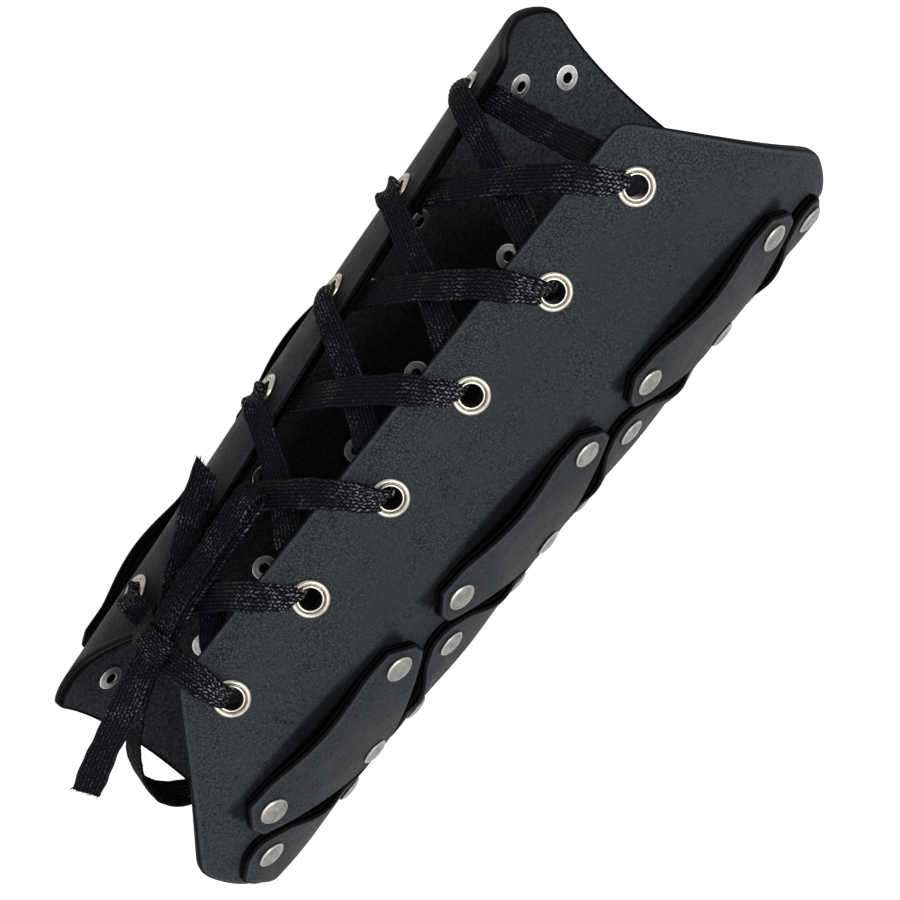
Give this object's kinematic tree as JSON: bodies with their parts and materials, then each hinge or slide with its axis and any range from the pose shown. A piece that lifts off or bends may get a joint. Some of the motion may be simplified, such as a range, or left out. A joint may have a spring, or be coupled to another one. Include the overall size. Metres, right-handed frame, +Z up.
{
  "type": "bracer",
  "caption": "Leather forearm guard with riveted leather plates, laced along its open side and tied in a bow.",
  "frame": {"origin": "below the middle of the guard, on the surface that it lies on, measured without the lace", "axes": "+X along the arm from the wrist end to the wider elbow end, +Z up with the lacing gap on top, +Y across"},
  "size_m": [0.2807, 0.1248, 0.1155],
  "materials": {
    "shell_leather": "smooth black leather with a fine grain, satin, with a bare fibrous flesh side",
    "plate_leather": "black leather, slightly paler than the shell, with burnished edges",
    "rivet_caps": "antique nickel, domed, lightly brushed",
    "rivet_backs": "antique nickel",
    "eyelet_metal": "polished antique nickel",
    "waxed_lace": "flat braided cotton lace, waxed black"
  },
  "bodies": {
    "root": {"leather_shell": "shell_leather", "side_plate_near_1": "plate_leather", "side_plate_near_2": "plate_leather", "side_plate_near_3": "plate_leather", "side_plate_far_1": "plate_leather", "side_plate_far_2": "plate_leather", "side_plate_far_3": "plate_leather", "centre_plate_1": "plate_leather", "centre_plate_2": "plate_leather", "centre_plate_3": "plate_leather", "centre_plate_4": "plate_leather", "side_rivet_caps_near": "rivet_caps", "side_rivet_caps_far": "rivet_caps", "centre_rivet_caps": "rivet_caps", "side_rivet_backs_near": "rivet_backs", "side_rivet_backs_far": "rivet_backs", "centre_rivet_backs": "rivet_backs", "eyelets_near": "eyelet_metal", "eyelets_far": "eyelet_metal", "eyelet_washers_near": "eyelet_metal", "eyelet_washers_far": "eyelet_metal", "lace": "waxed_lace", "bow_knot": "waxed_lace", "bow_loop_upper": "waxed_lace", "bow_loop_lower": "waxed_lace", "bow_tail_upper": "waxed_lace", "bow_tail_lower": "waxed_lace"}
  },
  "joints": []
}
